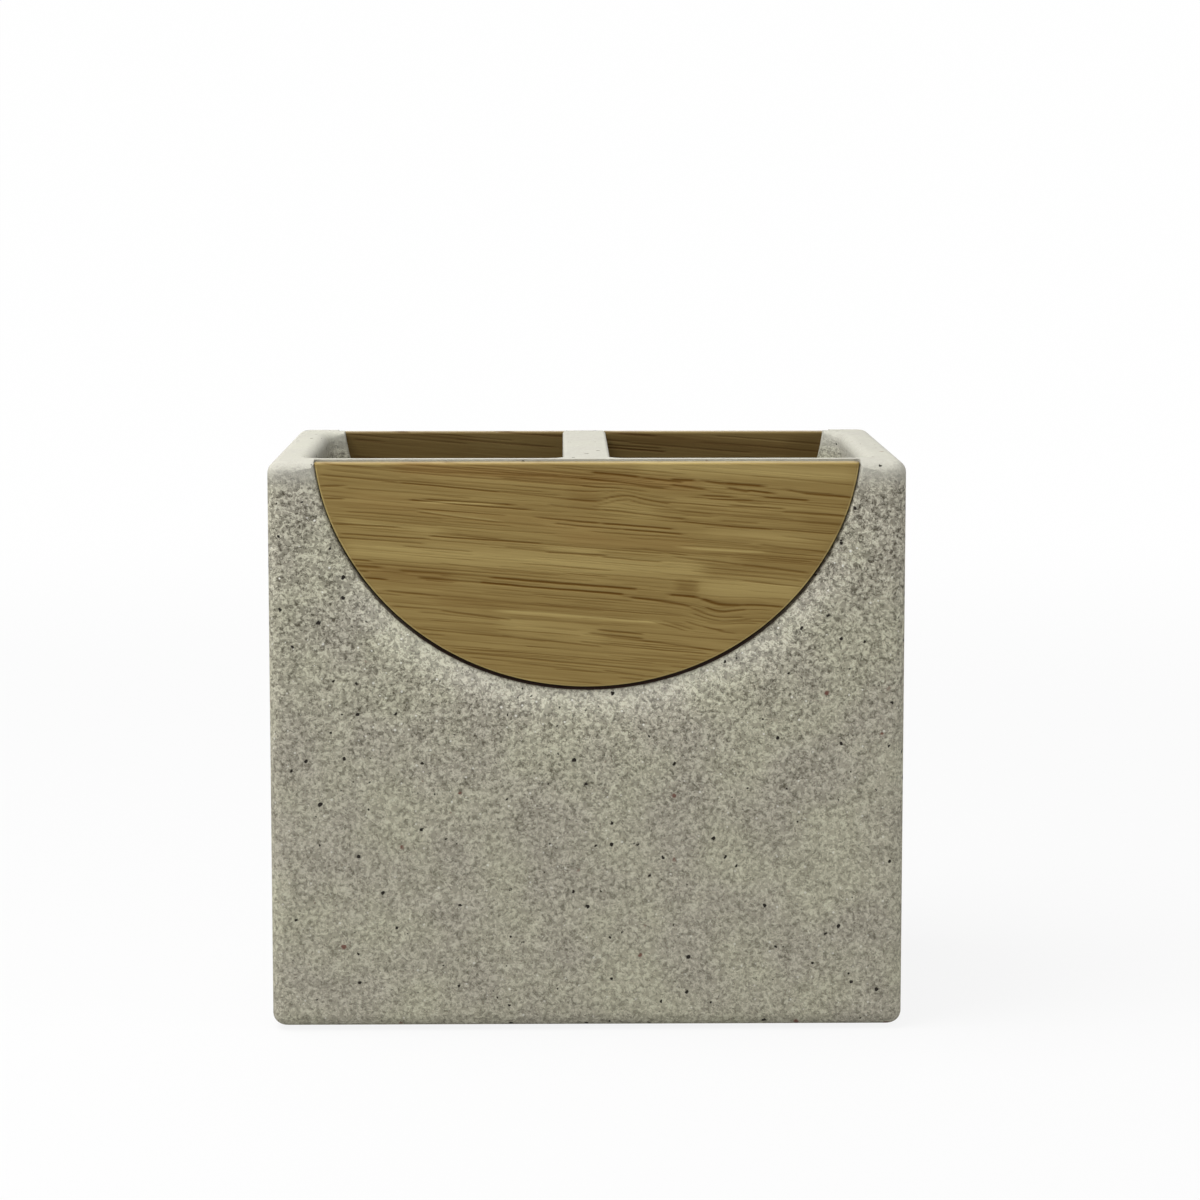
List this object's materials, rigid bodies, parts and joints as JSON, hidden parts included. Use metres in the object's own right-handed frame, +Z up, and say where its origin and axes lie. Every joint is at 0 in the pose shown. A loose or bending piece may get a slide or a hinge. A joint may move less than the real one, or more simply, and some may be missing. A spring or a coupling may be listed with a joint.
{
  "type": "toothbrush holder",
  "caption": "Rectangular stone-look toothbrush holder with an inner divider and a bamboo half-disc let into its front and its rear wall.",
  "frame": {"origin": "under the middle of the holder, on the surface that its four pads stand on", "axes": "+Z up, +X along the width to the right seen from the front, +Y from the front to the rear; the front faces -Y"},
  "size_m": [0.13, 0.08, 0.118],
  "materials": {
    "stone_resin": "matt speckled cast stone resin",
    "bamboo": "satin bamboo with a level grain",
    "adhesive": "cured adhesive",
    "foam_pad": "matt closed-cell foam"
  },
  "bodies": {
    "root": {"stone_body": "stone_resin", "front_inlay": "bamboo", "rear_inlay": "bamboo", "front_adhesive": "adhesive", "rear_adhesive": "adhesive", "foot_pad_front_left": "foam_pad", "foot_pad_front_right": "foam_pad", "foot_pad_rear_left": "foam_pad", "foot_pad_rear_right": "foam_pad"}
  },
  "joints": []
}
